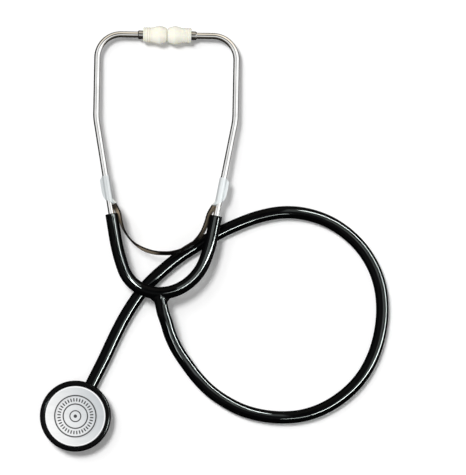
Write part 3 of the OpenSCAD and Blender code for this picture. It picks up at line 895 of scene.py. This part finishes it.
class STETHOSCOPE_OT_stage(bpy.types.Operator):
    """Lays the pale table and sets the soft studio light"""

    bl_idname = "stethoscope.stage"
    bl_label = "Table and light"

    def execute(self, context):
        stage = context.scene.stethoscope.stage
        self.table(context)
        self.sun(context, "HighKey", stage.key, 15, (-0.28, 0.36, 1.0))
        self.sun(context, "LowKey", stage.low_key, 20, (-0.66, 0.72, 1.0))
        self.lamp_arcs(context, stage)
        self.fills(context, stage)
        self.studio(context, stage)
        context.scene.view_settings.view_transform = "Standard"
        return {"FINISHED"}

    def table(self, context):
        """A pale table that the camera sees as near white and that lights the pieces less."""
        bm = bmesh.new()
        bmesh.ops.create_grid(bm, x_segments=1, y_segments=1, size=4.0)
        mesh = bpy.data.meshes.new("Table")
        bm.to_mesh(mesh)
        bm.free()
        material = bpy.data.materials.new("PaleTable")
        material.use_nodes = True
        tree = material.node_tree
        tree.nodes.clear()
        path = add(tree, "ShaderNodeLightPath")
        plain = add(tree, "ShaderNodeBsdfDiffuse", {"Color": (0.8, 0.8, 0.8, 1)})
        pale = add(tree, "ShaderNodeBsdfDiffuse", {"Color": (0.97, 0.97, 0.97, 1)})
        lift = add(tree, "ShaderNodeEmission", {"Color": (1, 1, 1, 1), "Strength": 0.05})
        seen = add(tree, "ShaderNodeAddShader", {0: pale.outputs[0], 1: lift.outputs[0]})
        mix = add(tree, "ShaderNodeMixShader", {0: path.outputs["Is Camera Ray"],
                                                1: plain.outputs[0], 2: seen.outputs[0]})
        add(tree, "ShaderNodeOutputMaterial", {"Surface": mix.outputs[0]})
        mesh.materials.append(material)
        table = bpy.data.objects.new("Table", mesh)
        context.scene.collection.objects.link(table)
        table.visible_glossy = False
        table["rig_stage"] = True

    def sun(self, context, name, energy, width, source, mirrored=False):
        """A sun that shines from a side, as wide as an angle in degrees."""
        lamp = bpy.data.lights.new(name, "SUN")
        lamp.energy = energy
        lamp.angle = math.radians(width)
        sun = bpy.data.objects.new(name, lamp)
        sun.rotation_euler = Vector(source).to_track_quat("Z", "Y").to_euler()
        sun.location = source
        sun.visible_glossy = mirrored
        context.scene.collection.objects.link(sun)
        return sun

    def pieces_for(self, name, nodes):
        """A collection of the pieces shown for these CAD nodes, to limit a lamp to them."""
        shown = {node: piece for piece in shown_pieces()
                 for node in piece.get("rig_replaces", [piece.name])}
        pieces = bpy.data.collections.new(name)
        for node in nodes:
            pieces.objects.link(shown[node])
        return pieces

    def lamp_arcs(self, context, stage):
        """Lamps end to end along arcs of the sky, each arc for the black pieces it is linked to."""
        for number, (nodes, depth, share, stops) in enumerate(LAMP_ARCS, 1):
            receivers = self.pieces_for(f"MirrorsArc{number}", nodes)
            ways = []
            for stop in stops:
                azimuth, tilt = (math.radians(angle) for angle in stop)
                ways.append(Vector((math.sin(tilt) * math.cos(azimuth),
                                    math.sin(tilt) * math.sin(azimuth), math.cos(tilt))))
            for start, end in zip(ways, ways[1:]):
                source = (start + end).normalized()
                along = (end - start).normalized()
                lamp = bpy.data.lights.new("ArcLamp", "AREA")
                lamp.shape = "RECTANGLE"
                lamp.size = ARC_RADIUS * (end - start).length
                lamp.size_y = depth
                lamp.energy = stage.arc * share * lamp.size * depth
                lamp.color = ARC_COLOUR
                arc = bpy.data.objects.new("ArcLamp", lamp)
                turn = Matrix((along, source.cross(along), source)).transposed()
                arc.rotation_euler = turn.to_euler()
                arc.location = ARC_CENTRE + ARC_RADIUS * source
                arc.visible_diffuse = False
                arc.light_linking.receiver_collection = receivers
                context.scene.collection.objects.link(arc)

    def fills(self, context, stage):
        """Wide soft suns, each for the few pieces that it is linked to."""
        for nodes, way, width, share, mirrored in FILLS:
            fill = self.sun(context, f"Fill_{nodes[0]}", stage.fill * share, width, way, mirrored)
            fill.light_linking.receiver_collection = self.pieces_for(fill.name, nodes)

    def studio(self, context, stage):
        """White behind the table, even light on matt surfaces and a shaded room in glossy ones."""
        world = bpy.data.worlds.new("Studio")
        world.use_nodes = True
        context.scene.world = world
        tree = world.node_tree
        tree.nodes.clear()
        path = add(tree, "ShaderNodeLightPath")
        mirrored = path.outputs["Is Glossy Ray"]
        x, y, z = coordinates(tree, "Generated")
        glossy = product(tree, self.room(tree, x, y, z), mirrored)
        matt = product(tree, compute(tree, "SUBTRACT", 1.0, mirrored), stage.ambient)
        camera = product(tree, path.outputs["Is Camera Ray"], 1.0 - stage.ambient)
        strength = compute(tree, "ADD", compute(tree, "ADD", glossy, matt), camera)

        # The room is warmer at its north and south ends
        ends = product(tree, ramp(tree, compute(tree, "ABSOLUTE", y), 0.28, 0.66), mirrored)
        tint = mix_colours(tree, ends, (1, 1, 1, 1), (1, 0.91, 0.77, 1))
        back = add(tree, "ShaderNodeBackground", {"Color": tint, "Strength": strength})
        add(tree, "ShaderNodeOutputWorld", {"Surface": back.outputs[0]})

    def room(self, tree, x, y, z):
        """How bright the mirrored room is, by the way a ray goes: x east, y north and z up."""
        south = ramp(tree, product(tree, y, -1.0), 0.28, 0.66, 1.0, 0.06)
        westward = compute(tree, "SUBTRACT", product(tree, x, -1.0), product(tree, z, 0.9))
        low_west = ramp(tree, westward, 0.30, 0.75, 1.0, 0.10)
        below = ramp(tree, z, 0.0, 0.4, 1.0, 0.0)
        from_spot = compute(tree, "ADD", distance_from(tree, x, y, (0.0, 0.36)), below)
        dark_spot = ramp(tree, from_spot, 0.20, 0.35, 0.04, 1.0)
        east = ramp(tree, x, -0.10, 0.50, 0.90, 1.25)
        floor = ramp(tree, z, -0.35, 0.0, 0.08, 1.0)
        return product(tree, south, low_west, dark_spot, east, floor)


OPERATORS = (
    STETHOSCOPE_OT_camera,
    STETHOSCOPE_OT_free_tube,
    STETHOSCOPE_OT_wye,
    STETHOSCOPE_OT_arms,
    STETHOSCOPE_OT_leaf_spring,
    STETHOSCOPE_OT_headset,
    STETHOSCOPE_OT_chestpiece,
    STETHOSCOPE_OT_stage,
)


class STETHOSCOPE_PT_panel(bpy.types.Panel):
    """Lists the stethoscope's pieces and settings"""

    bl_label = "Stethoscope"
    bl_idname = "STETHOSCOPE_PT_panel"
    bl_space_type = "VIEW_3D"
    bl_region_type = "UI"
    bl_category = "Stethoscope"

    def draw(self, context):
        settings = context.scene.stethoscope
        for part in (settings.tubing, settings.headset, settings.chestpiece, settings.stage):
            box = self.layout.box()
            for name in part.bl_rna.properties.keys():
                if name not in ("rna_type", "name"):
                    box.prop(part, name)
        for operator in OPERATORS:
            self.layout.operator(operator.bl_idname)


CLASSES = (
    TubingSettings,
    HeadsetSettings,
    ChestpieceSettings,
    StageSettings,
    StethoscopeSettings,
    *OPERATORS,
    STETHOSCOPE_PT_panel,
)


def register():
    for cls in CLASSES:
        bpy.utils.register_class(cls)
    bpy.types.Scene.stethoscope = PointerProperty(type=StethoscopeSettings)


def unregister():
    del bpy.types.Scene.stethoscope
    for cls in reversed(CLASSES):
        bpy.utils.unregister_class(cls)


def main():
    register()
    for operator in OPERATORS:
        family, name = operator.bl_idname.split(".")
        getattr(getattr(bpy.ops, family), name)()


if __name__ == "__main__":
    main()
